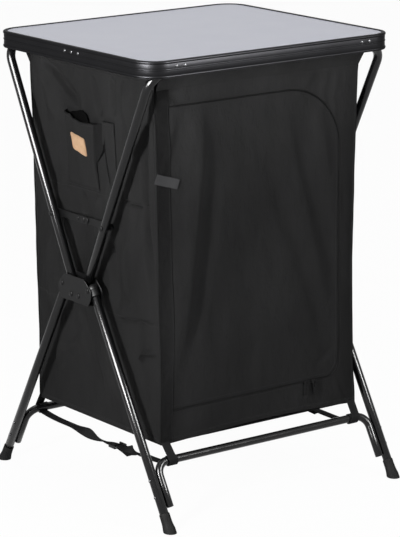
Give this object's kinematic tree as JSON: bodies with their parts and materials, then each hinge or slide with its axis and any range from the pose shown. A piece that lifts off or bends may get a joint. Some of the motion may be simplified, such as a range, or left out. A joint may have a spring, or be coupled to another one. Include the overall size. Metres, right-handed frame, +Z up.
{
  "type": "folding camping storage cupboard",
  "caption": "Folding camping cupboard: a table top on a folding tube frame with a zipped cloth cabinet and shelves hung inside it.",
  "frame": {"origin": "on the floor, under the middle of the table top", "axes": "+X to the right along the front, +Y to the back, +Z up; the door is at -Y"},
  "size_m": [0.6, 0.619, 0.91],
  "materials": {
    "board": "satin",
    "edge": "ribbed, black anodised",
    "tube": "gloss black",
    "plate": "satin black",
    "plastic": "moulded",
    "rubber": "matt",
    "cloth": "woven polyester",
    "webbing": "ribbed webbing",
    "zip": "coil zip",
    "label": "bare patch"
  },
  "bodies": {
    "hubs": {"left_hub_plate": "plate", "right_hub_plate": "plate", "left_hub_pins": "plate", "right_hub_pins": "plate"},
    "front_lower": {"left_front_leg": "tube", "right_front_leg": "tube", "left_front_leg_cap": "plastic", "right_front_leg_cap": "plastic", "left_front_foot": "rubber", "right_front_foot": "rubber", "front_brace": "tube", "right_strap": "webbing", "left_strap": "webbing", "right_adjuster": "plastic", "left_adjuster": "plastic"},
    "back_lower": {"left_back_leg": "tube", "right_back_leg": "tube", "left_back_leg_cap": "plastic", "right_back_leg_cap": "plastic", "left_back_foot": "rubber", "right_back_foot": "rubber", "back_brace": "tube"},
    "front_upper": {"front_upper_frame": "tube"},
    "back_upper": {"back_upper_frame": "tube"},
    "front_stays": {"left_front_stay": "plate", "right_front_stay": "plate"},
    "back_stays": {"left_back_stay": "plate", "right_back_stay": "plate"},
    "cabinet": {"cabinet_left_side": "cloth", "cabinet_right_side": "cloth", "front_sleeve": "cloth", "back_sleeve": "cloth", "cabinet_floor": "cloth", "shelf_1": "cloth", "shelf_2": "cloth", "front_right_loop": "webbing", "front_left_loop": "webbing", "back_right_loop": "webbing", "back_left_loop": "webbing", "large_pocket": "cloth", "slim_pocket": "cloth", "pocket_label": "label"},
    "front_panel": {"cabinet_front": "cloth", "zip_chain": "zip", "door_tie": "webbing"},
    "back_panel": {"cabinet_back": "cloth"},
    "door_leaf": {"door": "cloth"},
    "left_slider": {"left_zip_slider": "zip"},
    "right_slider": {"right_zip_slider": "zip"},
    "top": {"tabletop_board": "board", "edge_profile": "edge", "edge_joiner": "plate", "front_right_bracket": "plastic", "front_left_bracket": "plastic", "back_right_bracket": "plastic", "back_left_bracket": "plastic"}
  },
  "joints": [
    {"name": "frame_fold", "type": "hinge", "parent": "hubs", "child": "front_lower", "pos_m": [0, -0.0445, 0.43101], "axis": [1, 0, 0], "range_deg": [-149.84, 0], "deforming": ["cabinet_left_side", "cabinet_right_side", "front_sleeve", "back_sleeve", "cabinet_floor", "shelf_1", "shelf_2", "front_right_loop", "front_left_loop", "back_right_loop", "back_left_loop", "large_pocket", "slim_pocket", "pocket_label", "door", "right_strap", "left_strap"]},
    {"name": "back_lower_fold", "type": "hinge", "parent": "hubs", "child": "back_lower", "pos_m": [0, 0.0445, 0.43101], "axis": [1, 0, 0], "range_deg": [0, 149.84]},
    {"name": "front_upper_fold", "type": "hinge", "parent": "hubs", "child": "front_upper", "pos_m": [0, -0.0125, 0.41451], "axis": [1, 0, 0], "range_deg": [-26.75, 0]},
    {"name": "back_upper_fold", "type": "hinge", "parent": "hubs", "child": "back_upper", "pos_m": [0, 0.0125, 0.41451], "axis": [1, 0, 0], "range_deg": [0, 26.75]},
    {"name": "front_stay_fold", "type": "hinge", "parent": "front_upper", "child": "front_stays", "pos_m": [0, -0.0873, 0.563], "axis": [1, 0, 0], "range_deg": [0, 108.51]},
    {"name": "back_stay_fold", "type": "hinge", "parent": "back_upper", "child": "back_stays", "pos_m": [0, 0.0873, 0.563], "axis": [1, 0, 0], "range_deg": [-108.51, 0]},
    {"name": "cabinet_rise", "type": "slide", "parent": "hubs", "child": "cabinet", "axis": [0, 0, 1], "range_m": [0, 0.05654]},
    {"name": "front_panel_slide", "type": "slide", "parent": "cabinet", "child": "front_panel", "axis": [0, 1, 0], "range_m": [0, 0.2029]},
    {"name": "back_panel_slide", "type": "slide", "parent": "cabinet", "child": "back_panel", "axis": [0, 1, 0], "range_m": [-0.2029, 0]},
    {"name": "top_lift", "type": "slide", "parent": "hubs", "child": "top", "axis": [0, 0, 1], "range_m": [0, 0.1251]},
    {"name": "door_swing", "type": "hinge", "parent": "front_panel", "child": "door_leaf", "pos_m": [-0.213, -0.213, 0.513], "axis": [0, 0, -1], "range_deg": [0, 120], "deforming": ["door_tie"]},
    {"name": "left_zip_run", "type": "slide", "parent": "front_panel", "child": "left_slider", "axis": [-1, 0, 0], "range_m": [0, 0.3]},
    {"name": "right_zip_run", "type": "slide", "parent": "front_panel", "child": "right_slider", "axis": [1, 0, 0], "range_m": [0, 0.024]}
  ],
  "couplings": [
    {"joint": "back_lower_fold", "follows": "frame_fold", "ratio": -1},
    {"joint": "front_upper_fold", "follows": "frame_fold", "ratio": 0.17843},
    {"joint": "back_upper_fold", "follows": "frame_fold", "ratio": -0.17843},
    {"joint": "front_stay_fold", "follows": "frame_fold", "ratio": -0.72415},
    {"joint": "back_stay_fold", "follows": "frame_fold", "ratio": 0.72415},
    {"joint": "cabinet_rise", "follows": "frame_fold", "m_per_rad": -0.021582},
    {"joint": "front_panel_slide", "follows": "frame_fold", "m_per_rad": -0.077549},
    {"joint": "back_panel_slide", "follows": "frame_fold", "m_per_rad": 0.077549},
    {"joint": "top_lift", "follows": "frame_fold", "m_per_rad": -0.047799}
  ]
}
